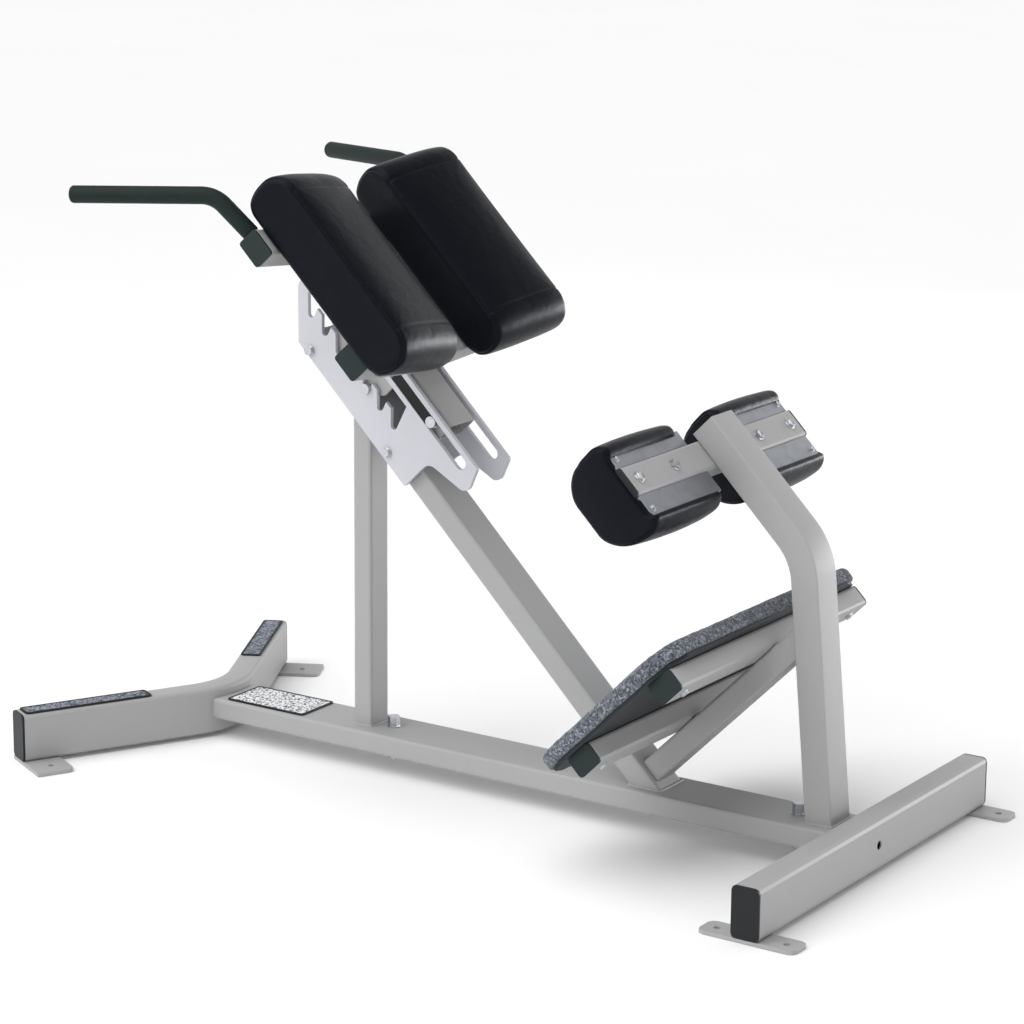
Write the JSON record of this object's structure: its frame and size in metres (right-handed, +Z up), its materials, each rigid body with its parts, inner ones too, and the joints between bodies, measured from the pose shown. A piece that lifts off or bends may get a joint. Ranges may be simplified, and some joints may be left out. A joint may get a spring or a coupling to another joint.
{
  "type": "hyperextension bench",
  "caption": "45 degree hyperextension bench: steel frame, padded thigh carriage on a notched slide, leg pads, carpeted foot platform, handles.",
  "frame": {"origin": "centre of the bounding box on the floor", "axes": "+X from the handles to the foot end, +Y across to the far side, +Z up"},
  "size_m": [1.6668, 0.8608, 1.1149],
  "materials": {
    "frame_paint": "satin light grey powder coat",
    "plate_paint": "satin silver powder coat",
    "carriage_paint": "satin warm grey powder coat",
    "cap_plastic": "fine matte, green-black",
    "base_cap_plastic": "fine matte, near-black",
    "grip_rubber": "matte, green-black",
    "strip_rubber": "coarse anti-slip, speckled",
    "pad_vinyl": "smooth black upholstery with a soft sheen",
    "board_wood": "black stained plywood",
    "carpet": "looped blue-grey carpet over a foam core",
    "bracket_steel": "bright steel",
    "chrome": "polished",
    "block_plastic": "black guide plastic"
  },
  "bodies": {
    "frame": {"front_base_tube": "frame_paint", "main_rail": "frame_paint", "rear_cross_tube": "frame_paint", "front_upright": "frame_paint", "main_diagonal": "frame_paint", "rear_post": "frame_paint", "platform_brace": "frame_paint", "foot_tube_upper": "frame_paint", "foot_tube_lower": "frame_paint", "front_foot_near": "frame_paint", "front_foot_far": "frame_paint", "rear_foot_near": "frame_paint", "rear_foot_far": "frame_paint", "front_cap_near": "base_cap_plastic", "front_cap_far": "base_cap_plastic", "rear_cap_near": "base_cap_plastic", "rear_cap_far": "base_cap_plastic", "leg_bar_cap_near": "base_cap_plastic", "leg_bar_cap_far": "base_cap_plastic", "rail_grip_strip": "strip_rubber", "arm_grip_near": "strip_rubber", "arm_grip_far": "strip_rubber", "head_plate_near": "plate_paint", "head_plate_far": "plate_paint", "head_bolt_upper": "chrome", "head_bolt_lower": "chrome", "rail_bolt_front": "chrome", "rail_bolt_rear": "chrome", "foot_cap_upper_near": "cap_plastic", "foot_cap_upper_far": "cap_plastic", "foot_cap_lower_near": "cap_plastic", "foot_cap_lower_far": "cap_plastic", "foot_board": "board_wood", "foot_tread": "carpet", "leg_pad_bar": "carriage_paint", "leg_pad_bracket_near": "bracket_steel", "leg_pad_bracket_far": "bracket_steel", "leg_pad_near": "pad_vinyl", "leg_pad_far": "pad_vinyl"},
    "slider": {"guide_bolt": "chrome", "slide_block_near": "block_plastic", "slide_block_far": "block_plastic"},
    "carriage": {"lock_pin": "chrome", "cross_cap_upper_near": "cap_plastic", "cross_cap_upper_far": "cap_plastic", "cross_cap_lower_near": "cap_plastic", "cross_cap_lower_far": "cap_plastic", "pad_board_near": "board_wood", "pad_board_far": "board_wood", "carriage_tube": "carriage_paint", "cross_tube_upper": "carriage_paint", "cross_tube_lower": "carriage_paint", "pin_bracket_near": "carriage_paint", "pin_bracket_far": "carriage_paint", "handle_tube_near": "carriage_paint", "handle_tube_far": "carriage_paint", "thigh_pad_near": "pad_vinyl", "thigh_pad_far": "pad_vinyl", "handle_grip_near": "grip_rubber", "handle_grip_far": "grip_rubber"}
  },
  "joints": [
    {"name": "carriage_slide", "type": "slide", "parent": "frame", "child": "slider", "axis": [0.7071, 0, -0.7071], "range_m": [-0.172, 0.086]},
    {"name": "carriage_lift", "type": "hinge", "parent": "slider", "child": "carriage", "pos_m": [-0.116, 0, 0.67292], "axis": [0, 1, 0], "range_deg": [0, 12]}
  ]
}
